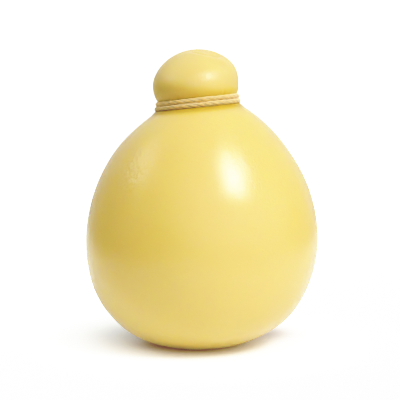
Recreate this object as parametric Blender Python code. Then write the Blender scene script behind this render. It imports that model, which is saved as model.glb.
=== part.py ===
"""A provolone with its head tied off by a cord wound twice round the neck.

Metres, +Z up, front facing -Y, origin on the floor under the middle of the body.
The cheese is turned from one outline, then pressed a little out of true as a hand-formed
cheese is. The cord is one tube that starts and ends in a knot at the back of the neck.
"""

from collections import namedtuple
import math

import bmesh
import bpy
from mathutils import Matrix, Vector
from mathutils.geometry import interpolate_bezier

# Body of the cheese, below the cord
BELLY_RADIUS = 0.0750
BELLY_HEIGHT = 0.0692
BASE_RADIUS = 0.0190
BASE_SLOPE = 9.0
UNDERSIDE_HEIGHT = 0.0220
SHOULDER_RADIUS = 0.0303
SHOULDER_HEIGHT = 0.1515
SHOULDER_SLOPE = 146.0

# Groove that the cord has drawn round the neck
LIP_RADIUS = 0.0272
LIP_HEIGHT = 0.1537
NECK_RADIUS = 0.0231
NECK_HEIGHT = 0.1576

# Head, above the cord
CHEEK_RADIUS = 0.0258
CHEEK_HEIGHT = 0.1626
CHEEK_SLOPE = 60.0
HEAD_RADIUS = 0.0274
HEAD_HEIGHT = 0.1701
TOP_HEIGHT = 0.1919

# How far the cheese is out of true
DEPTH_SHARE = 0.985
TILT_START = 0.1220
BASE_SHIFT = -0.0033
UNDERSIDE_SHIFT = -0.0010
NECK_SHIFT = -0.0029
HEAD_SHIFT = -0.0042
CROWN_SHIFT = -0.0023
SHIFTS = (
    (0.0, BASE_SHIFT),
    (UNDERSIDE_HEIGHT, UNDERSIDE_SHIFT),
    (BELLY_HEIGHT, 0.0),
    (TILT_START, 0.0),
    (NECK_HEIGHT, NECK_SHIFT),
    (HEAD_HEIGHT, HEAD_SHIFT),
    (TOP_HEIGHT, CROWN_SHIFT),
)
TIE_TILT_SIDE = math.radians(6.3)
TIE_TILT_FRONT = math.radians(3.3)
TILTS = (
    (TILT_START, 0.0),
    (NECK_HEIGHT + 0.002, 1.0),
    (HEAD_HEIGHT, 0.5),
    (TOP_HEIGHT, 0.0),
)

# Puckers drawn in by the cord, and how unevenly they are spaced and how much their depth varies
PUCKER_COUNT = 12
PUCKER_DEPTH = 0.0005
PUCKER_REACH = 0.0090
PUCKER_SPACING = 1.6
PUCKER_VARIETY = 0.4

# Dip where the head was closed
DIP_CENTRE = (0.0040, -0.0080)
DIP_LENGTH = 0.0130
DIP_WIDTH = 0.0065
DIP_DEPTH = 0.0018
DIP_TURN = math.radians(-14.0)

# Cord, wound from one side of the knot to the other
CORD_DIAMETER = 0.0030
TURN_GAP = 0.0001
LOWER_TURN_RADIUS = 0.0261
UPPER_TURN_RADIUS = 0.0254
TURN_START = math.radians(50.0)
TURN_END = math.radians(670.0)
CLIMB_START = math.radians(330.0)
CLIMB_END = math.radians(395.0)

# Knot at the back of the neck
KNOT_GAP = 0.0003
KNOT_STAND_OFF = 0.0067
KNOT_TILT = math.radians(12.0)

# Fineness of the faces: round the cheese, along the cord and round the cord
SEGMENTS = 72
TURN_STEP = math.radians(20.0)
CORD_STEPS = 3
CORD_BEVEL_RESOLUTION = 2

MERGE_DISTANCE = 0.00001

# A place on the cheese's outline. The heading is in degrees, 0 outwards and 90 upwards, before
# and after are how far its two curve handles reach, and rings is how many steps follow it.
Station = namedtuple("Station", "radius height heading before after rings")


def remove_everything():
    """Clears the scene of objects."""
    for old in list(bpy.data.objects):
        bpy.data.objects.remove(old, do_unlink=True)


def finish(name, colour, roughness):
    """A plain surface finish."""
    material = bpy.data.materials.new(name)
    material.use_nodes = True
    shader = material.node_tree.nodes["Principled BSDF"]
    shader.inputs["Base Color"].default_value = (*colour, 1.0)
    shader.inputs["Roughness"].default_value = roughness
    shader.inputs["Metallic"].default_value = 0.0
    return material


def ease(value, low, high):
    """Rises smoothly from 0 at low to 1 at high."""
    share = min(max((value - low) / (high - low), 0.0), 1.0)
    return share * share * (3.0 - 2.0 * share)


def along(stations, height):
    """The value at a height, eased from each station to the next."""
    value = stations[0][1]
    for (low, before), (high, after) in zip(stations, stations[1:]):
        value += (after - before) * ease(height, low, high)
    return value


def heading_line(degrees):
    """A unit line in the outline's plane, 0 outwards and 90 upwards."""
    angle = math.radians(degrees)
    return Vector((math.cos(angle), math.sin(angle)))


def outline():
    """The cheese's outline from the middle of its base, up its side, to the top of its head."""
    head_rise = TOP_HEIGHT - HEAD_HEIGHT
    stations = (
        Station(BASE_RADIUS, 0.0, BASE_SLOPE, 0.0, 0.033, 11),
        Station(BELLY_RADIUS, BELLY_HEIGHT, 90.0, 0.0415, 0.029, 14),
        Station(SHOULDER_RADIUS, SHOULDER_HEIGHT, SHOULDER_SLOPE, 0.0365, 0.0012, 3),
        Station(LIP_RADIUS, LIP_HEIGHT, 180.0, 0.0012, 0.0026, 5),
        Station(NECK_RADIUS, NECK_HEIGHT, 90.0, 0.0022, 0.0028, 5),
        Station(CHEEK_RADIUS, CHEEK_HEIGHT, CHEEK_SLOPE, 0.0018, 0.0030, 4),
        Station(HEAD_RADIUS, HEAD_HEIGHT, 90.0, 0.0030, 0.55 * head_rise, 11),
        Station(0.0, TOP_HEIGHT, 180.0, 0.52 * HEAD_RADIUS, 0.0, 0),
    )
    points = [Vector((0.0, 0.0)), Vector((BASE_RADIUS / 2, 0.0))]
    for here, there in zip(stations, stations[1:]):
        start = Vector((here.radius, here.height))
        end = Vector((there.radius, there.height))
        first_handle = start + heading_line(here.heading) * here.after
        last_handle = end - heading_line(there.heading) * there.before
        points += interpolate_bezier(start, first_handle, last_handle, end, here.rings + 1)[:-1]
    points.append(Vector((0.0, TOP_HEIGHT)))
    return points


def lean(point):
    """Shifts a point of the true form sideways, and tilts the neck as the cord has drawn it."""
    x, y, z = point
    shift = along(SHIFTS, z)
    rise = math.tan(TIE_TILT_SIDE) * x - math.tan(TIE_TILT_FRONT) * y
    return Vector((x + shift, y, z + along(TILTS, z) * rise))


def pucker(point):
    """Draws the cheese in along short creases above and below the cord."""
    reach = abs(point.z - NECK_HEIGHT) / PUCKER_REACH
    if reach >= 1.0:
        return point
    around = math.atan2(point.y, point.x)
    wave = math.cos(PUCKER_COUNT * around + PUCKER_SPACING * math.sin(2 * around + 1.0))
    strength = 1.0 - PUCKER_VARIETY + PUCKER_VARIETY * math.sin(3 * around + 0.5)
    drawn = PUCKER_DEPTH * strength * (1.0 - reach) * (1.0 - wave) / 2
    out = Vector((point.x, point.y, 0.0)).normalized()
    return point - out * drawn


def dip(point):
    """Sinks the shallow fold where the head was closed."""
    if point.z < HEAD_HEIGHT:
        return point
    away = Vector((point.x - DIP_CENTRE[0], point.y - DIP_CENTRE[1]))
    lengthwise = away.x * math.cos(DIP_TURN) + away.y * math.sin(DIP_TURN)
    crosswise = away.y * math.cos(DIP_TURN) - away.x * math.sin(DIP_TURN)
    depth = DIP_DEPTH * math.exp(-((lengthwise / DIP_LENGTH) ** 2) - (crosswise / DIP_WIDTH) ** 2)
    return Vector((point.x, point.y, point.z - depth))


def build_cheese():
    """Turns the outline once round, then presses it out of true."""
    shape = bmesh.new()
    rim = [shape.verts.new((p.x, 0.0, p.y)) for p in outline()]
    line = [shape.edges.new(pair) for pair in zip(rim, rim[1:])]
    bmesh.ops.spin(
        shape,
        geom=rim + line,
        cent=(0.0, 0.0, 0.0),
        axis=(0.0, 0.0, 1.0),
        angle=2 * math.pi,
        steps=SEGMENTS,
        use_merge=True,
    )
    bmesh.ops.remove_doubles(shape, verts=shape.verts, dist=MERGE_DISTANCE)
    for vert in shape.verts:
        true = pucker(vert.co)
        true = Vector((true.x, true.y * DEPTH_SHARE, true.z))
        vert.co = dip(lean(true))
    bmesh.ops.recalc_face_normals(shape, faces=shape.faces)
    mesh = bpy.data.meshes.new("cheese")
    shape.to_mesh(mesh)
    shape.free()
    mesh.shade_smooth()
    mesh.materials.append(finish("pale_yellow_rind", (0.88, 0.69, 0.21), 0.32))
    cheese = bpy.data.objects.new("cheese", mesh)
    bpy.context.collection.objects.link(cheese)


def turn_point(angle):
    """A point on the cord's turns: angle 0 is at the back, and it runs by the right to the front.

    The first turn is the lower one. The cord climbs to the upper one as it passes the back.
    """
    climb = ease(angle, CLIMB_START, CLIMB_END)
    radius = LOWER_TURN_RADIUS + (UPPER_TURN_RADIUS - LOWER_TURN_RADIUS) * climb
    level = NECK_HEIGHT + (climb - 0.5) * (CORD_DIAMETER + TURN_GAP)
    return Vector((radius * math.sin(angle), radius * math.cos(angle) * DEPTH_SHARE, level))


def knot_strand():
    """One of the knot's two like strands, in cord diameters, with the knot's middle at the origin.

    X runs along the neck, Y up it and Z away from it. The strand comes in low, loops round the
    other one and goes back out the side that it came from, passing over and under by turns.
    """
    return (
        (-2.75, -0.80, -1.02),
        (-1.75, -0.80, -0.74),
        (-0.90, -0.58, -0.12),
        (0.00, -1.10, 0.58),
        (0.65, -1.60, 0.34),
        (1.35, -1.62, -0.16),
        (1.95, -0.92, -0.50),
        (2.25, 0.00, 0.00),
        (1.95, 0.92, 0.50),
        (1.35, 1.62, 0.16),
        (0.65, 1.60, -0.34),
        (0.00, 1.10, -0.58),
        (-0.90, 0.58, 0.12),
        (-1.75, 0.80, 0.74),
        (-2.60, 0.78, 0.85),
    )


def cord_guides():
    """The points that the cord's middle line passes through, from one cut end to the other.

    The knot's second strand is the first one turned half round. Each strand has a point of its
    own where it comes off the neck, and past the knot a loose end that droops on the shoulder.
    """
    first_lead = (-3.9, -0.48, -1.50)
    last_lead = (3.9, 0.85, -1.50)
    first_end = ((-3.4, 0.45, 0.60), (-4.3, -0.30, 0.30), (-4.9, -1.35, 0.50), (-5.1, -3.30, 1.60))
    last_end = ((3.4, -0.90, 0.62), (4.2, -1.30, 0.42), (4.8, -2.10, 0.80), (5.0, -3.00, 1.40))
    half_round = Matrix.Rotation(math.pi, 4, "Z")
    strand = [Vector(p) for p in knot_strand()]
    first = [Vector(first_lead), *strand, *(Vector(p) for p in first_end)]
    last = [Vector(last_lead), *(half_round @ p for p in strand), *(Vector(p) for p in last_end)]

    place = Matrix.Translation(Vector((0.0, UPPER_TURN_RADIUS + KNOT_STAND_OFF, NECK_HEIGHT)))
    face_back = Matrix(((-1, 0, 0, 0), (0, 0, 1, 0), (0, 1, 0, 0), (0, 0, 0, 1)))
    unit = Matrix.Scale(CORD_DIAMETER + KNOT_GAP, 4)
    move = place @ Matrix.Rotation(KNOT_TILT, 4, "X") @ face_back @ unit
    steps = round((TURN_END - TURN_START) / TURN_STEP)
    turns = [turn_point(TURN_START + i * TURN_STEP) for i in range(steps + 1)]
    return [move @ p for p in reversed(first)] + turns + [move @ p for p in last]


def smooth_line(guides, steps):
    """A smooth line through the guides."""
    ends = [2 * guides[0] - guides[1], *guides, 2 * guides[-1] - guides[-2]]
    line = []
    for before, start, end, after in zip(ends, ends[1:], ends[2:], ends[3:]):
        reach = (end - start).length / 3
        leaving = start + (end - before).normalized() * reach
        arriving = end - (after - start).normalized() * reach
        line += interpolate_bezier(start, leaving, arriving, end, steps + 1)[:-1]
    line.append(guides[-1])
    return line


def build_cord():
    """Sweeps the round cord along its middle line."""
    curve = bpy.data.curves.new("neck_cord", "CURVE")
    curve.dimensions = "3D"
    curve.bevel_depth = CORD_DIAMETER / 2
    curve.bevel_resolution = CORD_BEVEL_RESOLUTION
    curve.use_fill_caps = True
    points = smooth_line([lean(p) for p in cord_guides()], CORD_STEPS)
    spline = curve.splines.new("POLY")
    spline.points.add(len(points) - 1)
    for spot, place in zip(spline.points, points):
        spot.co = (*place, 1.0)
    curve.materials.append(finish("straw_cord", (0.76, 0.61, 0.31), 0.85))
    cord = bpy.data.objects.new("neck_cord", curve)
    bpy.context.collection.objects.link(cord)


remove_everything()
build_cheese()
build_cord()
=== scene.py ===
"""A whole provolone, tied off at the neck with twine, standing on a pale floor in soft light."""

import math
import random

import bmesh
import bpy
from mathutils import Matrix, Quaternion, Vector, noise
from mathutils.geometry import interpolate_bezier
from mathutils.kdtree import KDTree


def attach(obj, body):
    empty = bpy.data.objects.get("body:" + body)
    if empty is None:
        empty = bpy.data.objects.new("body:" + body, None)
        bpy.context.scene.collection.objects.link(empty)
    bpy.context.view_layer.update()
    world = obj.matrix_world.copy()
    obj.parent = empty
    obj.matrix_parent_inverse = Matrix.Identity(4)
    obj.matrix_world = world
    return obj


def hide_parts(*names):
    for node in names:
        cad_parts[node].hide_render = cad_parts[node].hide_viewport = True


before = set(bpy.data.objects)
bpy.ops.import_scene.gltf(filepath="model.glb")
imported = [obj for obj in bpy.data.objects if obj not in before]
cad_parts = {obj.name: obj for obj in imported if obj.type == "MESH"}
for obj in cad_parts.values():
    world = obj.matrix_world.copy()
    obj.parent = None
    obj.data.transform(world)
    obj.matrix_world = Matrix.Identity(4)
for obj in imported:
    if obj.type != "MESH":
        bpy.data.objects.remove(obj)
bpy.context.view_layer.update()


# The cheese
# One lump of stretched curd, worked smooth by hand with its head left above the neck, then
# brined and hung. The rind is only the outside of the same paste, pale, smooth and a little
# waxy. It is turned from one outline and pressed out of true where hands and cord pressed it.

BELLY_RADIUS = 0.0750
BELLY_HEIGHT = 0.0692
BASE_RADIUS = 0.0190
BASE_SLOPE = 9.0
UNDERSIDE_HEIGHT = 0.0220
SHOULDER_RADIUS = 0.0303
SHOULDER_HEIGHT = 0.1515
SHOULDER_SLOPE = 146.0
LIP_RADIUS = 0.0268
LIP_HEIGHT = 0.15455
LIP_SLOPE = 165.0
NECK_RADIUS = 0.0236
NECK_HEIGHT = 0.1576
CHEEK_RADIUS = 0.0257
CHEEK_HEIGHT = 0.1613
CHEEK_SLOPE = 60.0
HEAD_RADIUS = 0.0274
HEAD_HEIGHT = 0.1701
TOP_HEIGHT = 0.1919
DEPTH_SHARE = 0.985

# The cheese isn't straight: how far its middle is shifted to the right at each height, and how
# much of the tie's tilt it has there. The head leans back, and is a little deeper than the body.
TILT_START = 0.1220
TIE_TILT_SIDE = math.radians(6.3)
TIE_TILT_FRONT = math.radians(3.3)
SHIFTS = (
    (0.0, -0.0033),
    (UNDERSIDE_HEIGHT, -0.0010),
    (BELLY_HEIGHT, 0.0),
    (TILT_START, 0.0),
    (NECK_HEIGHT, -0.0029),
    (HEAD_HEIGHT, -0.0042),
    (TOP_HEIGHT, -0.0023),
)
TILTS = (
    (TILT_START, 0.0),
    (NECK_HEIGHT + 0.002, 1.0),
    (HEAD_HEIGHT, 0.5),
    (TOP_HEIGHT, 0.0),
)
HEAD_LEAN = 0.0042
HEAD_DEPTH = 0.06

CHEESE_SEGMENTS = 256
BASE_RINGS = 4
HEAD_SIDE_FULLNESS = 0.55
HEAD_TOP_FULLNESS = 0.52
MERGE_DISTANCE = 0.000001


def ease(value, low, high):
    """Rises smoothly from 0 at low to 1 at high."""
    share = min(max((value - low) / (high - low), 0.0), 1.0)
    return share * share * (3.0 - 2.0 * share)


def bell(value, width):
    """Falls smoothly from 1 at 0 to nearly 0 at twice the width."""
    return math.exp(-((value / width) ** 2))


def along(stations, height):
    """The value at a height, eased from each station to the next."""
    value = stations[0][1]
    for (low, before), (high, after) in zip(stations, stations[1:]):
        value += (after - before) * ease(height, low, high)
    return value


def lean(point):
    """Shifts a point of the true form sideways, and tilts the neck as the cord has drawn it."""
    x, y, z = point
    rise = math.tan(TIE_TILT_SIDE) * x - math.tan(TIE_TILT_FRONT) * y
    return Vector((x + along(SHIFTS, z), y, z + along(TILTS, z) * rise))


def heading_line(degrees):
    """A unit line in the outline's plane, 0 outwards and 90 upwards."""
    angle = math.radians(degrees)
    return Vector((math.cos(angle), math.sin(angle)))


def cheese_outline():
    """The outline from the middle of the base, up the side, to the top of the head.

    Each station is a radius, a height, the outline's heading, how far its curve handles reach
    before and after it, and how many rings follow it. The cheese has swelled against the cord,
    so the lip and the cheek meet it.
    """
    head_side = HEAD_SIDE_FULLNESS * (TOP_HEIGHT - HEAD_HEIGHT)
    head_top = HEAD_TOP_FULLNESS * HEAD_RADIUS
    stations = (
        (BASE_RADIUS, 0.0, BASE_SLOPE, 0.0, 0.033, 46),
        (BELLY_RADIUS, BELLY_HEIGHT, 90.0, 0.0415, 0.029, 58),
        (SHOULDER_RADIUS, SHOULDER_HEIGHT, SHOULDER_SLOPE, 0.0365, 0.0012, 5),
        (LIP_RADIUS, LIP_HEIGHT, LIP_SLOPE, 0.0012, 0.0012, 10),
        (NECK_RADIUS, NECK_HEIGHT, 90.0, 0.0020, 0.0028, 10),
        (CHEEK_RADIUS, CHEEK_HEIGHT, CHEEK_SLOPE, 0.0018, 0.0030, 9),
        (HEAD_RADIUS, HEAD_HEIGHT, 90.0, 0.0030, head_side, 56),
        (0.0, TOP_HEIGHT, 180.0, head_top, 0.0, 0),
    )
    points = [Vector((BASE_RADIUS * i / BASE_RINGS, 0.0)) for i in range(BASE_RINGS)]
    for here, there in zip(stations, stations[1:]):
        start = Vector(here[:2])
        end = Vector(there[:2])
        first_handle = start + heading_line(here[2]) * here[4]
        last_handle = end - heading_line(there[2]) * there[3]
        points += interpolate_bezier(start, first_handle, last_handle, end, here[5] + 1)[:-1]
    points.append(Vector((0.0, TOP_HEIGHT)))
    return points


# Short creases that the cord draws in above and below it, closer together and deeper in some
# places round the neck than in others, and a few sharper nicks above it, each a way round in
# degrees and a share of the full depth
PUCKER_COUNT = 12
PUCKER_DEPTH = 0.0005
PUCKER_REACH = 0.0090
PUCKER_SPACING = 1.6
CLOSE_PLACES = 2
CLOSE_PLACES_START = 1.0
PUCKER_VARIETY = 0.4
DEEP_PLACES = 3
DEEP_PLACES_START = 0.5
NICKS = ((-118.0, 1.0), (-49.0, 1.0), (-152.0, 0.5), (12.0, 0.8), (74.0, 0.7), (131.0, 0.9))
NICK_DEPTH = 0.0009
NICK_WIDTH = math.radians(2.6)
NICK_REACH = 0.0080


def nick(point):
    """How strongly a nick marks a point, from 0 to 1."""
    reach = (point.z - NECK_HEIGHT) / NICK_REACH
    if not 0.0 < reach < 1.0:
        return 0.0
    around = math.atan2(point.y, point.x)
    marked = 0.0
    for way, share in NICKS:
        away = math.remainder(around - math.radians(way), 2 * math.pi)
        marked += share * bell(away, NICK_WIDTH)
    return marked * (1.0 - reach)


def pucker(point):
    """Draws the cheese in along the short creases and the nicks."""
    reach = abs(point.z - NECK_HEIGHT) / PUCKER_REACH
    if reach >= 1.0:
        return point
    around = math.atan2(point.y, point.x)
    closeness = math.sin(CLOSE_PLACES * around + CLOSE_PLACES_START)
    wave = math.cos(PUCKER_COUNT * around + PUCKER_SPACING * closeness)
    deepness = math.sin(DEEP_PLACES * around + DEEP_PLACES_START)
    strength = 1.0 - PUCKER_VARIETY + PUCKER_VARIETY * deepness
    drawn = PUCKER_DEPTH * strength * (1.0 - reach) * (1.0 - wave) / 2
    drawn += NICK_DEPTH * nick(point)
    out = Vector((point.x, point.y, 0.0)).normalized()
    return point - out * drawn


# The crown, seen from above: the hollow where the head was closed, the fold in front of it with
# its swollen lip, and two short creases, each a line of points, a depth and a width. Fold and
# creases are at full depth between two shares of their length, and run out beyond them.
DIP_CENTRE = Vector((0.0040, -0.0035))
DIP_LENGTH = 0.0120
DIP_WIDTH = 0.0060
DIP_DEPTH = 0.0018
DIP_TURN = math.radians(-14.0)
FOLD_LINE = (
    (-0.0110, -0.0010),
    (-0.0078, -0.0035),
    (-0.0050, -0.0060),
    (-0.0020, -0.0082),
    (0.0020, -0.0096),
    (0.0057, -0.0088),
    (0.0100, -0.0062),
    (0.0128, -0.0015),
    (0.0136, 0.0030),
)
FOLD_DEPTH = 0.0011
FOLD_WIDTH = 0.0020
FOLD_LIP = 0.0004
LIP_WIDTH = 0.0030
FOLD_FULL = (0.3, 0.85)
CREASE_FULL = (0.35, 0.65)
CREASES = (
    (((-0.0048, -0.0034), (-0.0010, -0.0058), (0.0032, -0.0066)), 0.0004, 0.0012),
    (((0.0010, -0.0160), (0.0065, -0.0162), (0.0115, -0.0148), (0.0160, -0.0105)), 0.0006, 0.0026),
)


def line_offset(point, line):
    """How far a point lies behind a line of points, and how far along it, from 0 to 1."""
    best = None
    for i, (start, end) in enumerate(zip(line, line[1:])):
        start = Vector(start)
        run = Vector(end) - start
        share = min(max((point - start).dot(run) / run.length_squared, 0.0), 1.0)
        away = point - start - run * share
        side = 1.0 if run.cross(point - start) > 0.0 else -1.0
        if best is None or away.length < abs(best[0]):
            best = (side * away.length, (i + share) / (len(line) - 1))
    return best


def run_out(share, full):
    """The strength along a line: full between two shares of its length, nothing at its ends."""
    return ease(share, 0.0, full[0]) * (1.0 - ease(share, full[1], 1.0))


def crown(point):
    """Sinks the hollow, the fold and the creases into the top of the head."""
    if point.z < HEAD_HEIGHT:
        return point
    spot = Vector((point.x, point.y))
    away = Matrix.Rotation(-DIP_TURN, 2) @ (spot - DIP_CENTRE)
    depth = DIP_DEPTH * bell(away.x, DIP_LENGTH) * bell(away.y, DIP_WIDTH)
    offset, share = line_offset(spot, FOLD_LINE)
    strength = run_out(share, FOLD_FULL)
    depth += FOLD_DEPTH * strength * bell(offset - FOLD_WIDTH, FOLD_WIDTH)
    depth -= FOLD_LIP * strength * bell(offset + LIP_WIDTH, LIP_WIDTH)
    for line, deepest, width in CREASES:
        offset, share = line_offset(spot, line)
        depth += deepest * run_out(share, CREASE_FULL) * bell(offset, width)
    return Vector((point.x, point.y, point.z - depth))


# The unevenness that hands leave: slow waves all over, each a fineness and a size, and single
# shallow hollows, each a middle, a width, a height, a turn in degrees and a depth. It runs out
# at the edge of the flat spot.
WAVES = ((16.0, 0.00045), (38.0, 0.00014))
HOLLOWS = (
    (Vector((0.0215, -0.0505, 0.1270)), 0.0035, 0.0140, 14.0, 0.00010),
    (Vector((-0.0360, -0.0430, 0.1270)), 0.0060, 0.0100, 0.0, 0.00012),
)
FLAT_EDGE = 0.004


def unevenness(point, normal):
    """How far the surface stands out from the true form."""
    rise = sum(size * noise.noise(point * fineness) for fineness, size in WAVES)
    for middle, width, height, turn, depth in HOLLOWS:
        away = point - middle
        across = Vector((-normal.y, normal.x, 0.0)).normalized()
        turned = Matrix.Rotation(-math.radians(turn), 2) @ Vector((away.dot(across), away.z))
        if away.dot(normal) > -height:
            rise -= depth * bell(turned.x, width) * bell(turned.y, height)
    return rise * ease(point.z, 0.0, FLAT_EDGE)


# Where the rind's finish changes, kept as attributes of the mesh: the groove by the cord and its
# nicks, given painted shade, the head that was handled most, the painted shadow just under the
# cord, and the places where the skin has dried in creases, each a middle, a width, a height and a
# share
GROOVE_BELOW = 0.0038
GROOVE_ABOVE = 0.0072
NICK_SHADE = 0.5
HANDLED_EDGE = 0.0015
CORD_SHADOW_BELOW = 0.0038
CORD_SHADOW_WIDTH = 0.0020
WRINKLES = (
    (Vector((-0.0388, -0.0430, 0.118)), 0.009, 0.017, 1.0),
    (Vector((0.0300, -0.0500, 0.116)), 0.012, 0.020, 0.22),
    (Vector((0.0030, -0.0270, 0.178)), 0.010, 0.008, 0.35),
)


def wrinkled_skin(point):
    """How much of the skin's fine upright creasing a point has, from 0 to 1."""
    most = 0.0
    for middle, width, height, share in WRINKLES:
        away = point - middle
        across = Vector((away.x, away.y)).length
        most = max(most, share * bell(across, width) * bell(away.z, height))
    return most


def finished_piece(name, shape, mesh):
    """Writes a shape to its mesh, smooth, and shows it as a piece."""
    shape.to_mesh(mesh)
    shape.free()
    mesh.shade_smooth()
    piece = bpy.data.objects.new(name, mesh)
    bpy.context.scene.collection.objects.link(piece)
    return piece


def build_cheese():
    """Turns the outline once round, then presses it out of true."""
    shape = bmesh.new()
    rim = [shape.verts.new((p.x, 0.0, p.y)) for p in cheese_outline()]
    line = [shape.edges.new(pair) for pair in zip(rim, rim[1:])]
    bmesh.ops.spin(
        shape,
        geom=rim + line,
        cent=(0.0, 0.0, 0.0),
        axis=(0.0, 0.0, 1.0),
        angle=2 * math.pi,
        steps=CHEESE_SEGMENTS,
        use_merge=True,
    )
    bmesh.ops.remove_doubles(shape, verts=shape.verts, dist=MERGE_DISTANCE)
    bmesh.ops.recalc_face_normals(shape, faces=shape.faces)
    groove = shape.verts.layers.float.new("groove")
    handled = shape.verts.layers.float.new("handled")
    cord_shadow = shape.verts.layers.float.new("cord_shadow")
    wrinkled = shape.verts.layers.float.new("wrinkled")
    for vert in shape.verts:
        reach = GROOVE_BELOW if vert.co.z < NECK_HEIGHT else GROOVE_ABOVE
        # Painted shade in the groove by the cord and in its nicks
        groove_shade = bell(vert.co.z - NECK_HEIGHT, reach) + NICK_SHADE * nick(vert.co)
        vert[groove] = min(groove_shade, 1.0)
        vert[handled] = ease(vert.co.z, NECK_HEIGHT - HANDLED_EDGE, NECK_HEIGHT + HANDLED_EDGE)
        # A painted shadow, darker, just under the cord
        vert[cord_shadow] = bell(vert.co.z - NECK_HEIGHT + CORD_SHADOW_BELOW, CORD_SHADOW_WIDTH)
        true = pucker(vert.co)
        depth = DEPTH_SHARE + HEAD_DEPTH * ease(true.z, NECK_HEIGHT, HEAD_HEIGHT)
        back = HEAD_LEAN * ease(true.z, NECK_HEIGHT, TOP_HEIGHT)
        vert.co = lean(Vector((true.x, true.y * depth, true.z))) + Vector((0.0, back, 0.0))
    shape.normal_update()
    moves = [vert.normal * unevenness(vert.co, vert.normal) for vert in shape.verts]
    for vert, move in zip(shape.verts, moves):
        vert.co = crown(vert.co + move)
        vert[wrinkled] = wrinkled_skin(vert.co)
    return finished_piece("cheese_rind", shape, bpy.data.meshes.new("cheese_rind"))


def fill(socket, part):
    """Gives a socket a plain value, or what another socket gives out."""
    if isinstance(part, bpy.types.NodeSocket):
        socket.id_data.links.new(part, socket)
    else:
        socket.default_value = part


def add_node(tree, kind, **values):
    """A new node with its settings and what goes into its sockets, by name."""
    node = tree.nodes.new(kind)
    for name, value in values.items():
        if name in node.inputs:
            fill(node.inputs[name], value)
        else:
            setattr(node, name, value)
    return node


def noise_share(tree, place, **values):
    """A soft random pattern between 0 and 1."""
    return add_node(tree, "ShaderNodeTexNoise", Vector=place, **values).outputs["Fac"]


def marked_share(tree, name):
    """What the mesh's own attribute says at a point."""
    return add_node(tree, "ShaderNodeAttribute", attribute_name=name).outputs["Fac"]


def calculated(tree, operation, *parts):
    """The result of an operation on shares and plain numbers."""
    node = add_node(tree, "ShaderNodeMath", operation=operation)
    for socket, part in zip(node.inputs, parts):
        fill(socket, part)
    return node.outputs["Value"]


# A mix node has its colours at these sockets, and the mixed colour at this output
COLOUR_BEFORE = 6
COLOUR_AFTER = 7
COLOUR_MIXED = 2


def mixed_colour(tree, share, before, after, **values):
    """The colour before where the share is 0, and the colour after where it is 1."""
    mix = add_node(tree, "ShaderNodeMix", data_type="RGBA", Factor=share, **values)
    fill(mix.inputs[COLOUR_BEFORE], before)
    fill(mix.inputs[COLOUR_AFTER], after)
    return mix.outputs[COLOUR_MIXED]


def spread_share(tree, share, low, high, new_low=0.0, new_high=1.0, **values):
    """Spreads the part of a share between low and high over a new range."""
    spread = add_node(tree, "ShaderNodeMapRange", Value=share, **values)
    spread.inputs["From Min"].default_value = low
    spread.inputs["From Max"].default_value = high
    spread.inputs["To Min"].default_value = new_low
    spread.inputs["To Max"].default_value = new_high
    return spread.outputs["Result"]


# The paste is palest on the body and deeper in the mottling and on the head. Painted shade makes
# it deep gold in the groove by the cord, and a painted shadow makes it darker just under the cord.
# A fineness is about how many times a pattern repeats in a metre.
RIND_PALE = (0.644, 0.485, 0.157, 1.0)
RIND_DEEP = (0.619, 0.455, 0.141, 1.0)
RIND_HEAD = (0.604, 0.456, 0.158, 1.0)
RIND_GROOVE_SHADE = (0.594, 0.390, 0.040, 1.0)
RIND_CORD_SHADOW = (0.43, 0.28, 0.018, 1.0)
RIND_IOR = 1.46
PASTE_DEPTH = 0.004
PASTE_TINT = (1.0, 0.62, 0.18)
MOTTLE_FINENESS = 22.0
WEAR_FINENESS = 45.0
WEAR_LOW = 0.3
WEAR_HIGH = 0.7
WAXED_ROUGHNESS = 0.220
WORN_ROUGHNESS = 0.248
HEAD_ROUGHER = 0.13
PORE_FINENESS = 650.0
PORE_DEPTH = 0.0002
WRINKLE_FINENESS = (520.0, 520.0, 170.0)
WRINKLE_DEPTH = 0.0008


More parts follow.
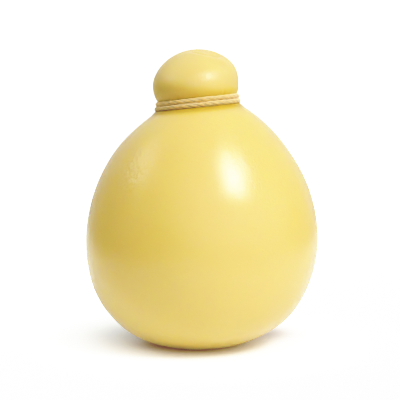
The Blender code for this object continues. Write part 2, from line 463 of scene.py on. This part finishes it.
def rind_finish():
    """Waxy pale yellow paste that light sinks into, faintly mottled, with pores and creases, and
    painted shade by the cord.
    """
    material = bpy.data.materials.new("waxy_yellow_rind")
    material.use_nodes = True
    tree = material.node_tree
    shader = tree.nodes["Principled BSDF"]
    shader.inputs["IOR"].default_value = RIND_IOR
    shader.inputs["Subsurface Weight"].default_value = 1.0
    shader.inputs["Subsurface Radius"].default_value = PASTE_TINT
    shader.inputs["Subsurface Scale"].default_value = PASTE_DEPTH
    place = add_node(tree, "ShaderNodeTexCoord").outputs["Object"]
    handled = marked_share(tree, "handled")

    mottle = noise_share(tree, place, Scale=MOTTLE_FINENESS, Detail=4.0, Roughness=0.55)
    paste = mixed_colour(tree, mottle, RIND_DEEP, RIND_PALE)
    with_head = mixed_colour(tree, handled, paste, RIND_HEAD)
    # Painted shade in the groove by the cord and in its nicks
    with_groove = mixed_colour(tree, marked_share(tree, "groove"), with_head, RIND_GROOVE_SHADE)
    # Then a painted shadow just under the cord
    with_cord_shadow = mixed_colour(tree, marked_share(tree, "cord_shadow"), with_groove, RIND_CORD_SHADOW)
    fill(shader.inputs["Base Color"], with_cord_shadow)

    wear = noise_share(tree, place, Scale=WEAR_FINENESS, Detail=3.0)
    sheen = spread_share(tree, wear, WEAR_LOW, WEAR_HIGH, WAXED_ROUGHNESS, WORN_ROUGHNESS)
    rough = calculated(tree, "MULTIPLY_ADD", handled, HEAD_ROUGHER, sheen)
    fill(shader.inputs["Roughness"], rough)

    pores = noise_share(tree, place, Scale=PORE_FINENESS, Detail=3.0, Roughness=0.6)
    grain = add_node(tree, "ShaderNodeBump", Strength=0.5, Distance=PORE_DEPTH, Height=pores)
    upright = add_node(tree, "ShaderNodeMapping", Scale=WRINKLE_FINENESS, Vector=place)
    creases = noise_share(tree, upright.outputs["Vector"], Scale=1.0, Detail=3.0)
    drawn = calculated(tree, "MULTIPLY", creases, marked_share(tree, "wrinkled"))
    wrinkle = add_node(tree, "ShaderNodeBump", Strength=1.0, Distance=WRINKLE_DEPTH, Height=drawn)
    fill(wrinkle.inputs["Normal"], grain.outputs["Normal"])
    fill(shader.inputs["Normal"], wrinkle.outputs["Normal"])
    return material


cheese = build_cheese()
cheese.data.materials.append(rind_finish())
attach(cheese, "root")
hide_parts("cheese")


# The cord
# Straw-coloured twine of three plies, wound twice round the neck from one side of a square
# knot to the other. It was pulled tight while the cheese was soft, so it lies in its own groove.

CORD_DIAMETER = 0.0030
KNOT_GAP = 0.0003
TURN_GAP = 0.0001
LOWER_TURN_RADIUS = 0.0261
UPPER_TURN_RADIUS = 0.0254
TURN_START = math.radians(50.0)
TURN_END = math.radians(670.0)
TURN_STEP = math.radians(20.0)
CLIMB_START = math.radians(330.0)
CLIMB_END = math.radians(395.0)

# One strand of the square knot, and the leads and ends of both. Each point is a way across, up
# and out from the cheese, in thicknesses of the cord. The other strand is turned half round.
KNOT_STAND_OFF = 0.0067
KNOT_TILT = math.radians(12.0)
KNOT_STRAND = (
    (-2.75, -0.80, -1.02),
    (-1.75, -0.80, -0.74),
    (-0.90, -0.58, -0.12),
    (0.00, -1.10, 0.58),
    (0.65, -1.60, 0.34),
    (1.35, -1.62, -0.16),
    (1.95, -0.92, -0.50),
    (2.25, 0.00, 0.00),
    (1.95, 0.92, 0.50),
    (1.35, 1.62, 0.16),
    (0.65, 1.60, -0.34),
    (0.00, 1.10, -0.58),
    (-0.90, 0.58, 0.12),
    (-1.75, 0.80, 0.74),
    (-2.60, 0.78, 0.85),
)
FIRST_LEAD = (-3.9, -0.48, -1.50)
LAST_LEAD = (3.9, 0.85, -1.50)
FIRST_END = ((-3.4, 0.45, 0.60), (-4.3, -0.30, 0.30), (-4.9, -1.35, 0.50), (-5.1, -3.30, 1.60))
LAST_END = ((3.4, -0.90, 0.62), (4.2, -1.30, 0.42), (4.8, -2.10, 0.80), (5.0, -3.00, 1.40))


def turn_point(angle):
    """A point on the turns: angle 0 is at the back, and it runs by the right to the front."""
    climb = ease(angle, CLIMB_START, CLIMB_END)
    radius = LOWER_TURN_RADIUS + (UPPER_TURN_RADIUS - LOWER_TURN_RADIUS) * climb
    level = NECK_HEIGHT + (climb - 0.5) * (CORD_DIAMETER + TURN_GAP)
    return Vector((radius * math.sin(angle), radius * math.cos(angle) * DEPTH_SHARE, level))


def cord_guides():
    """The points that the cord passes through, from one cut end to the other."""
    half_round = Matrix.Rotation(math.pi, 4, "Z")
    strand = [Vector(p) for p in KNOT_STRAND]
    first = [Vector(FIRST_LEAD), *strand, *(Vector(p) for p in FIRST_END)]
    last = [Vector(LAST_LEAD), *(half_round @ p for p in strand), *(Vector(p) for p in LAST_END)]
    place = Matrix.Translation(Vector((0.0, UPPER_TURN_RADIUS + KNOT_STAND_OFF, NECK_HEIGHT)))
    face_back = Matrix(((-1, 0, 0, 0), (0, 0, 1, 0), (0, 1, 0, 0), (0, 0, 0, 1)))
    unit = Matrix.Scale(CORD_DIAMETER + KNOT_GAP, 4)
    move = place @ Matrix.Rotation(KNOT_TILT, 4, "X") @ face_back @ unit
    steps = round((TURN_END - TURN_START) / TURN_STEP)
    turns = [turn_point(TURN_START + i * TURN_STEP) for i in range(steps + 1)]
    return [move @ p for p in reversed(first)] + turns + [move @ p for p in last]


def smooth_line(guides, steps):
    """A smooth line through the guides."""
    ends = [2 * guides[0] - guides[1], *guides, 2 * guides[-1] - guides[-2]]
    line = []
    for before, start, end, after in zip(ends, ends[1:], ends[2:], ends[3:]):
        reach = (end - start).length / 3
        leaving = start + (end - before).normalized() * reach
        arriving = end - (after - start).normalized() * reach
        line += interpolate_bezier(start, leaving, arriving, end, steps + 1)[:-1]
    line.append(guides[-1])
    return line


def even_line(line, step):
    """The same line with its points an even step apart."""
    spots = [line[0]]
    left = step
    for start, end in zip(line, line[1:]):
        run = (end - start).length
        done = 0.0
        while run - done >= left:
            done += left
            spots.append(start.lerp(end, done / run))
            left = step
        left -= run - done
    return spots


def carried_frames(line):
    """Each point of a line with its heading and a side that turns no more than the line does."""
    headings = [(b - a).normalized() for a, b in zip(line, line[1:])]
    headings.append(headings[-1])
    side = headings[0].orthogonal().normalized()
    frames = []
    for spot, heading in zip(line, headings):
        side = (side - heading * side.dot(heading)).normalized()
        frames.append((spot, heading, side))
    return frames


# Three plies of seven yarns each. A lay is the length of one full twist. The plies wander and
# swell a little, each by its own part of a random pattern, and open out at the cut ends.
PLIES = 3
PLY_RADIUS = 0.00122
PLY_OFFSET = 0.00042
PLY_LAY = 0.0150
LAY_WANDER = 0.6
SWELL = 0.16
SWELL_LENGTH = 0.003
YARNS = 7
YARN_RELIEF = 0.055
YARN_LAY = 0.0085
SECTION_POINTS = 21
CORD_STEP = 0.0005
STEPS_BETWEEN_GUIDES = 16
FRAY_LENGTH = 0.006
FRAY_SPREAD = 0.6
LAY_PLACE = 3.0
SWELL_PLACE = 8.0
PRESSED_EDGE = 0.45


def ply_section():
    """The outline of one ply: its yarns stand out as soft lobes."""
    section = bpy.data.curves.new("ply_section", "CURVE")
    section.dimensions = "2D"
    ring = section.splines.new("POLY")
    ring.points.add(SECTION_POINTS - 1)
    for i, spot in enumerate(ring.points):
        angle = 2 * math.pi * i / SECTION_POINTS
        radius = PLY_RADIUS * (1.0 + YARN_RELIEF * math.cos(YARNS * angle))
        spot.co = (radius * math.cos(angle), radius * math.sin(angle), 0.0, 1.0)
    ring.use_cyclic_u = True
    return bpy.data.objects.new("ply_section", section)


def ply_line(frames, ply):
    """One ply's middle line, wound round the cord's, which opens out towards the cut ends."""
    line = []
    for i, (spot, heading, side) in enumerate(frames):
        to_end = min(i, len(frames) - 1 - i) * CORD_STEP
        spread = PLY_OFFSET * (1.0 + FRAY_SPREAD * (1.0 - ease(to_end, 0.0, FRAY_LENGTH)))
        swells = i * CORD_STEP / SWELL_LENGTH
        wander = LAY_WANDER * noise.noise(Vector((swells / 2, ply, LAY_PLACE)))
        angle = 2 * math.pi * (ply / PLIES + i * CORD_STEP / PLY_LAY) + wander
        out = side * math.cos(angle) + heading.cross(side) * math.sin(angle)
        line.append(spot + out * spread)
    return line


def swept_shape(curve, merge_distance):
    """A curve's swept mesh, closed, with its faces outwards."""
    swept = bpy.data.objects.new("swept", curve)
    bpy.context.scene.collection.objects.link(swept)
    view = bpy.context.evaluated_depsgraph_get()
    mesh = bpy.data.meshes.new_from_object(swept.evaluated_get(view))
    bpy.data.objects.remove(swept)
    shape = bmesh.new()
    shape.from_mesh(mesh)
    bmesh.ops.remove_doubles(shape, verts=shape.verts, dist=merge_distance)
    bmesh.ops.recalc_face_normals(shape, faces=shape.faces)
    return shape, mesh


def build_twine(frames):
    """Sweeps the three plies as one piece, and marks the side pressed to the cheese for painted
    light.
    """
    section = ply_section()
    bpy.context.scene.collection.objects.link(section)
    curve = bpy.data.curves.new("neck_twine", "CURVE")
    curve.dimensions = "3D"
    curve.bevel_mode = "OBJECT"
    curve.bevel_object = section
    curve.use_fill_caps = True
    for ply in range(PLIES):
        line = ply_line(frames, ply)
        spline = curve.splines.new("POLY")
        spline.points.add(len(line) - 1)
        for i, (knot, spot) in enumerate(zip(spline.points, line)):
            knot.co = (*spot, 1.0)
            knot.tilt = -2 * math.pi * i * CORD_STEP / YARN_LAY
            swells = i * CORD_STEP / SWELL_LENGTH
            knot.radius = 1.0 + SWELL * noise.noise(Vector((swells, ply, SWELL_PLACE)))
    shape, mesh = swept_shape(curve, MERGE_DISTANCE)
    bpy.data.objects.remove(section)
    middles = KDTree(len(frames))
    for i, (spot, _, _) in enumerate(frames):
        middles.insert(spot, i)
    middles.balance()
    pressed = shape.verts.layers.float.new("pressed")
    for vert in shape.verts:
        spot = middles.find(vert.co)[0]
        out = Vector((spot.x, spot.y, 0.0)).normalized()
        outward = (vert.co - spot).dot(out) / CORD_DIAMETER
        vert[pressed] = 1.0 - ease(outward, 0.0, PRESSED_EDGE)
    return finished_piece("neck_twine", shape, mesh)


# The straw is paler and darker by turns along each ply, and is painted palest on the side that is
# pressed to the cheese, as painted light for the light that comes back out of the cheese. The
# scales count fibres along and round a ply.
CORD_PALE = (0.80, 0.51, 0.225, 1.0)
CORD_DEEP = (0.54, 0.31, 0.11, 1.0)
CORD_PAINTED_BOUNCE = (0.93, 0.64, 0.27, 1.0)
CORD_LENGTH_SCALE = 130.0
CORD_ROUND_SCALE = 9.0
TONE_LOW = 0.32
TONE_HIGH = 0.68
FIBRE_RELIEF = 0.00012


def cord_finish():
    """Dull dry fibres that run along each ply."""
    material = bpy.data.materials.new("straw_twine")
    material.use_nodes = True
    tree = material.node_tree
    shader = tree.nodes["Principled BSDF"]
    shader.inputs["Roughness"].default_value = 0.82
    shader.inputs["Specular IOR Level"].default_value = 0.25
    shader.inputs["Sheen Weight"].default_value = 0.25
    shader.inputs["Sheen Roughness"].default_value = 0.5
    shader.inputs["Subsurface Weight"].default_value = 1.0
    shader.inputs["Subsurface Radius"].default_value = (1.0, 0.8, 0.5)
    shader.inputs["Subsurface Scale"].default_value = 0.0020
    place = add_node(tree, "ShaderNodeTexCoord").outputs["UV"]
    along_ply = (CORD_LENGTH_SCALE, CORD_ROUND_SCALE, 1.0)
    stretch = add_node(tree, "ShaderNodeMapping", Scale=along_ply, Vector=place).outputs["Vector"]
    fibres = noise_share(tree, stretch, Scale=1.0, Detail=5.0, Roughness=0.65)
    tone = spread_share(tree, fibres, TONE_LOW, TONE_HIGH)
    straw = mixed_colour(tree, tone, CORD_DEEP, CORD_PALE)
    # The side pressed to the cheese is painted paler, as painted light
    lit_straw = mixed_colour(tree, marked_share(tree, "pressed"), straw, CORD_PAINTED_BOUNCE)
    fill(shader.inputs["Base Color"], lit_straw)
    ridges = add_node(tree, "ShaderNodeBump", Strength=0.8, Distance=FIBRE_RELIEF, Height=fibres)
    fill(shader.inputs["Normal"], ridges.outputs["Normal"])
    return material


leaning_guides = [lean(p) for p in cord_guides()]
route = even_line(smooth_line(leaning_guides, STEPS_BETWEEN_GUIDES), CORD_STEP)
cord_frames = carried_frames(route)
straw_finish = cord_finish()
twine = build_twine(cord_frames)
twine.data.materials.append(straw_finish)
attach(twine, "root")
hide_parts("neck_cord")


# Loose fibres
# The twine's short natural fibres work loose all along it and stand off as fine hairs, with a
# small brush of them at each cut end.

# A hair's length is how far it reaches along the cord, and most are near the shortest. Lift and
# curl are how far its tip is from the cord, outwards and sideways, as shares of that length.
HAIR_COUNT = 1300
HAIR_RADIUS = 0.000035
HAIR_SHORT = 0.0010
HAIR_LONG = 0.0042
HAIR_SHORTNESS = 4
HAIR_POINTS = 5
HAIR_LIFT = (0.25, 0.9)
HAIR_CURL = 0.6
HAIR_TAPER = 0.6
ROOT_DEPTH = 0.85
END_HAIRS = 26
END_SPREAD = (0.1, 1.2)
END_LENGTH_SHARE = 0.8
HAIR_MERGE = 0.0000001
HAIR_SEED = 7


def hair_points(draw, start, heading, out, length):
    """A hair that leaves the cord along it and curls outwards."""
    lift = draw.uniform(*HAIR_LIFT)
    curl = heading.cross(out) * draw.uniform(-HAIR_CURL, HAIR_CURL)
    points = []
    for i in range(HAIR_POINTS):
        share = i / (HAIR_POINTS - 1)
        reach = heading * share + (out * lift + curl) * share * share
        points.append(start + reach * length)
    return points


def build_fibres(frames):
    """Scatters the hairs along the cord and at its ends."""
    draw = random.Random(HAIR_SEED)
    curve = bpy.data.curves.new("twine_fibres", "CURVE")
    curve.dimensions = "3D"
    curve.bevel_depth = HAIR_RADIUS
    curve.bevel_resolution = 0
    curve.use_fill_caps = True
    cord_radius = PLY_OFFSET + PLY_RADIUS
    starts = [draw.randrange(len(frames)) for _ in range(HAIR_COUNT)]
    starts += [0] * END_HAIRS + [len(frames) - 1] * END_HAIRS
    for index in starts:
        spot, heading, side = frames[index]
        at_end = index in (0, len(frames) - 1)
        turn = draw.uniform(0.0, 2 * math.pi)
        out = side * math.cos(turn) + heading.cross(side) * math.sin(turn)
        if at_end:
            way = -heading if index == 0 else heading
            root = spot + out * cord_radius * draw.uniform(*END_SPREAD)
            length = draw.uniform(HAIR_SHORT, HAIR_LONG) * END_LENGTH_SHARE
        else:
            way = heading * draw.choice((-1.0, 1.0))
            root = spot + out * cord_radius * ROOT_DEPTH
            length = HAIR_SHORT + (HAIR_LONG - HAIR_SHORT) * draw.random() ** HAIR_SHORTNESS
        spline = curve.splines.new("POLY")
        spline.points.add(HAIR_POINTS - 1)
        points = hair_points(draw, root, way, out, length)
        for i, (knot, place) in enumerate(zip(spline.points, points)):
            knot.co = (*place, 1.0)
            knot.radius = 1.0 - HAIR_TAPER * i / (HAIR_POINTS - 1)
    shape, mesh = swept_shape(curve, HAIR_MERGE)
    return finished_piece("twine_fibres", shape, mesh)


fibres = build_fibres(cord_frames)
fibres.data.materials.append(straw_finish)
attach(fibres, "root")


# The studio
# A matt white table in front of a white wall that only the camera sees. A soft light stands
# above at the right and a weaker one at the left, and broad weak light comes from all round.

CAMERA_PLACE = Vector((-0.00127, -0.945, 0.211))
CAMERA_AIM = Vector((-0.00127, 0.0, 0.0946))
CAMERA_LENS = 132.4
SENSOR_WIDTH = 36.0


def place_camera():
    """The photograph's viewpoint."""
    data = bpy.data.cameras.new("camera")
    data.lens = CAMERA_LENS
    data.sensor_width = SENSOR_WIDTH
    camera = bpy.data.objects.new("camera", data)
    camera.location = CAMERA_PLACE
    camera.rotation_euler = (CAMERA_AIM - CAMERA_PLACE).to_track_quat("-Z", "Y").to_euler()
    bpy.context.scene.collection.objects.link(camera)
    bpy.context.scene.camera = camera


LIGHT_TARGET = Vector((0.0, 0.0, 0.11))


def way_to(azimuth, elevation):
    """The way from the cheese to a light. Azimuth 0 is the camera's side and 90 the right."""
    turn = math.radians(azimuth)
    rise = math.radians(elevation)
    level = math.cos(rise)
    return Vector((math.sin(turn) * level, -math.cos(turn) * level, math.sin(rise)))


def soft_light(name, azimuth, elevation, distance, width, height, roll, strength):
    """A rectangular soft light that faces the cheese. Its strength is its surface's radiance."""
    back = way_to(azimuth, elevation)
    data = bpy.data.lights.new(name, "AREA")
    data.shape = "RECTANGLE"
    data.size = width
    data.size_y = height
    data.energy = strength * width * height * math.pi
    light = bpy.data.objects.new(name, data)
    light.location = LIGHT_TARGET + back * distance
    facing = (-back).to_track_quat("-Z", "Y") @ Quaternion((0.0, 0.0, 1.0), math.radians(roll))
    light.rotation_euler = facing.to_euler()
    bpy.context.scene.collection.objects.link(light)


# The shadow that the camera sees on the table is made of soft pools, each a middle, a reach and
# a tint: a broad grey one at the left and behind, and two warm ones, at the right and under the
# front, where light has passed through the cheese
FLOOR_PAINT = (0.93, 0.93, 0.93, 1.0)
SHADOW_POOLS = (
    ((-0.042, 0.035), (0.043, 0.052), (0.02, 0.02, 0.02, 1.0)),
    ((0.042, 0.034), (0.025, 0.028), (0.13, 0.053, 0.02, 1.0)),
    ((-0.027, -0.003), (0.017, 0.014), (0.42, 0.28, 0.08, 1.0)),
)


def table_paint(tree, place, seen):
    """White paint, darkened by the pools where the camera sees it."""
    paint = FLOOR_PAINT
    for (x, y), (width, depth), tint in SHADOW_POOLS:
        spread = add_node(tree, "ShaderNodeMapping", Vector=place)
        spread.inputs["Location"].default_value = (-x / width, -y / depth, 0.0)
        spread.inputs["Scale"].default_value = (1.0 / width, 1.0 / depth, 0.0)
        square = add_node(tree, "ShaderNodeVectorMath", operation="DOT_PRODUCT")
        fill(square.inputs[0], spread.outputs["Vector"])
        fill(square.inputs[1], spread.outputs["Vector"])
        fall = calculated(tree, "MULTIPLY", square.outputs["Value"], -1.0)
        pool = calculated(tree, "EXPONENT", fall)
        shown = calculated(tree, "MULTIPLY", pool, seen)
        paint = mixed_colour(tree, shown, paint, tint, blend_type="MULTIPLY")
    return paint


# Far from the cheese and towards the camera the table turns dark to all but the camera, so
# that its edge doesn't show in the cheese's shine. It does so outside an oval whose middle is
# behind the cheese.
FADE_MIDDLE = 0.4
FADE_NARROWER = 1.5
FADE_START = 0.50
FADE_END = 1.00
FAR_PAINT = (0.20, 0.20, 0.20, 1.0)


def table_fade(tree, place):
    """How far out on the table a point is, from 0 to 1."""
    shifted = add_node(tree, "ShaderNodeMapping", Vector=place)
    shifted.inputs["Location"].default_value = (0.0, -FADE_MIDDLE, 0.0)
    shifted.inputs["Scale"].default_value = (FADE_NARROWER, 1.0, 0.0)
    away = add_node(tree, "ShaderNodeVectorMath", operation="LENGTH")
    fill(away.inputs[0], shifted.outputs["Vector"])
    distance = away.outputs["Value"]
    return spread_share(tree, distance, FADE_START, FADE_END, interpolation_type="SMOOTHSTEP")


# The table gives off a little light. To the camera it is bright in the open, and close under the
# cheese it is a painted shadow, dim and warm. To the cheese it is faint all over and fades as the
# paint does.
FLOOR_GLOW = (0.086, 0.086, 0.086, 1.0)
NO_GLOW = (0.0, 0.0, 0.0, 1.0)
OPEN_GLOW = (1.60, 1.66, 1.60, 1.0)
CONTACT_GLOW = (0.18, 0.08, 0.0, 1.0)
CONTACT_REACH = 0.06
CONTACT_SAMPLES = 12


def table_glow(tree, fade, seen):
    """The light that the table gives off."""
    air = add_node(tree, "ShaderNodeAmbientOcclusion", Distance=CONTACT_REACH)
    air.samples = CONTACT_SAMPLES
    to_camera = mixed_colour(tree, air.outputs["AO"], CONTACT_GLOW, OPEN_GLOW)
    to_cheese = mixed_colour(tree, fade, FLOOR_GLOW, NO_GLOW)
    return mixed_colour(tree, seen, to_cheese, to_camera)


TABLE_SIZE = Vector((0.9, 2.6, 1.0))
TABLE_MIDDLE = Vector((0.0, 0.3, 0.0))
TABLE_ROUGHNESS = 0.9


def white_floor():
    """The table's top, which isn't part of the cheese."""
    shape = bmesh.new()
    bmesh.ops.create_grid(shape, x_segments=1, y_segments=1, size=0.5)
    bmesh.ops.scale(shape, vec=TABLE_SIZE, verts=shape.verts)
    bmesh.ops.translate(shape, vec=TABLE_MIDDLE, verts=shape.verts)
    mesh = bpy.data.meshes.new("floor")
    shape.to_mesh(mesh)
    shape.free()
    material = bpy.data.materials.new("matt_white")
    material.use_nodes = True
    tree = material.node_tree
    shader = tree.nodes["Principled BSDF"]
    shader.inputs["Roughness"].default_value = TABLE_ROUGHNESS
    shader.inputs["Specular IOR Level"].default_value = 0.0
    shader.inputs["Emission Strength"].default_value = 1.0
    seen = add_node(tree, "ShaderNodeLightPath").outputs["Is Camera Ray"]
    place = add_node(tree, "ShaderNodeTexCoord").outputs["Object"]
    fade = table_fade(tree, place)
    unseen = calculated(tree, "SUBTRACT", 1.0, seen)
    faded = calculated(tree, "MULTIPLY", fade, unseen)
    paint = mixed_colour(tree, faded, table_paint(tree, place, seen), FAR_PAINT)
    fill(shader.inputs["Base Color"], paint)
    fill(shader.inputs["Emission Color"], table_glow(tree, fade, seen))
    mesh.materials.append(material)
    floor = bpy.data.objects.new("floor", mesh)
    bpy.context.scene.collection.objects.link(floor)


# The broad light of the room, each part the way that it lies, how near to that way it starts,
# and its full strength, and the white wall that the camera sees
AIR_LIGHTS = (
    (way_to(45, 30), 0.2, 0.84),
    (way_to(28, 10), 0.3, 1.58),
    (way_to(-80, 55), 0.4, 0.66),
    (way_to(-90, 5), 0.4, 0.36),
    (way_to(180, 45), 0.2, 0.65),
    (way_to(180, 0), 0.3, 0.84),
)
WALL_STRENGTH = 3.0
WHITE_LIGHT = (1.0, 1.0, 1.0, 1.0)


def studio_air():
    """Broad weak light all round, and a white wall to the camera itself."""
    world = bpy.data.worlds.new("studio_air")
    world.use_nodes = True
    tree = world.node_tree
    tree.nodes.clear()
    around = add_node(tree, "ShaderNodeTexCoord").outputs["Generated"]
    level = 0.0
    for way, start, strength in AIR_LIGHTS:
        nearness = add_node(tree, "ShaderNodeVectorMath", operation="DOT_PRODUCT")
        fill(nearness.inputs[0], around)
        fill(nearness.inputs[1], way)
        ramp = spread_share(
            tree,
            nearness.outputs["Value"],
            start,
            1.0,
            new_high=strength,
            interpolation_type="SMOOTHSTEP",
        )
        level = calculated(tree, "ADD", level, ramp)
    room = add_node(tree, "ShaderNodeBackground", Color=WHITE_LIGHT, Strength=level)
    wall = add_node(tree, "ShaderNodeBackground", Color=WHITE_LIGHT, Strength=WALL_STRENGTH)
    seen = add_node(tree, "ShaderNodeLightPath").outputs["Is Camera Ray"]
    shown = add_node(tree, "ShaderNodeMixShader", Fac=seen)
    fill(shown.inputs[1], room.outputs["Background"])
    fill(shown.inputs[2], wall.outputs["Background"])
    add_node(tree, "ShaderNodeOutputWorld", Surface=shown.outputs["Shader"])
    bpy.context.scene.world = world


# How the picture shows each level of light: dark tones drawn down, and bright ones rising
# slowly to paper white
FILM_RESPONSE = (
    (0.0, 0.0),
    (0.05, 0.020),
    (0.12, 0.048),
    (0.22, 0.085),
    (0.35, 0.201),
    (0.50, 0.319),
    (0.65, 0.423),
    (0.80, 0.526),
    (1.00, 0.656),
    (1.20, 0.753),
    (1.40, 0.847),
    (1.70, 0.938),
    (2.20, 0.991),
    (4.00, 0.991),
)
COMBINED_CURVE = 3


def film_response():
    """Gives the picture the photograph's contrast."""
    settings = bpy.context.scene.view_settings
    settings.view_transform = "Standard"
    settings.look = "None"
    settings.use_curve_mapping = True
    mapping = settings.curve_mapping
    mapping.use_clip = False
    mapping.clip_max_x = FILM_RESPONSE[-1][0]
    curve = mapping.curves[COMBINED_CURVE]
    for point, (level, shown) in zip(curve.points, (FILM_RESPONSE[0], FILM_RESPONSE[-1])):
        point.location = (level, shown)
    for level, shown in FILM_RESPONSE[1:-1]:
        curve.points.new(level, shown)
    mapping.update()


place_camera()
soft_light(
    "soft_light_right",
    azimuth=44.0,
    elevation=45.0,
    distance=1.5,
    width=0.49,
    height=0.60,
    roll=-20.0,
    strength=35.5,
)
soft_light(
    "soft_light_left",
    azimuth=-91.0,
    elevation=39.0,
    distance=1.5,
    width=0.60,
    height=0.50,
    roll=0.0,
    strength=5.6,
)
white_floor()
studio_air()
film_response()
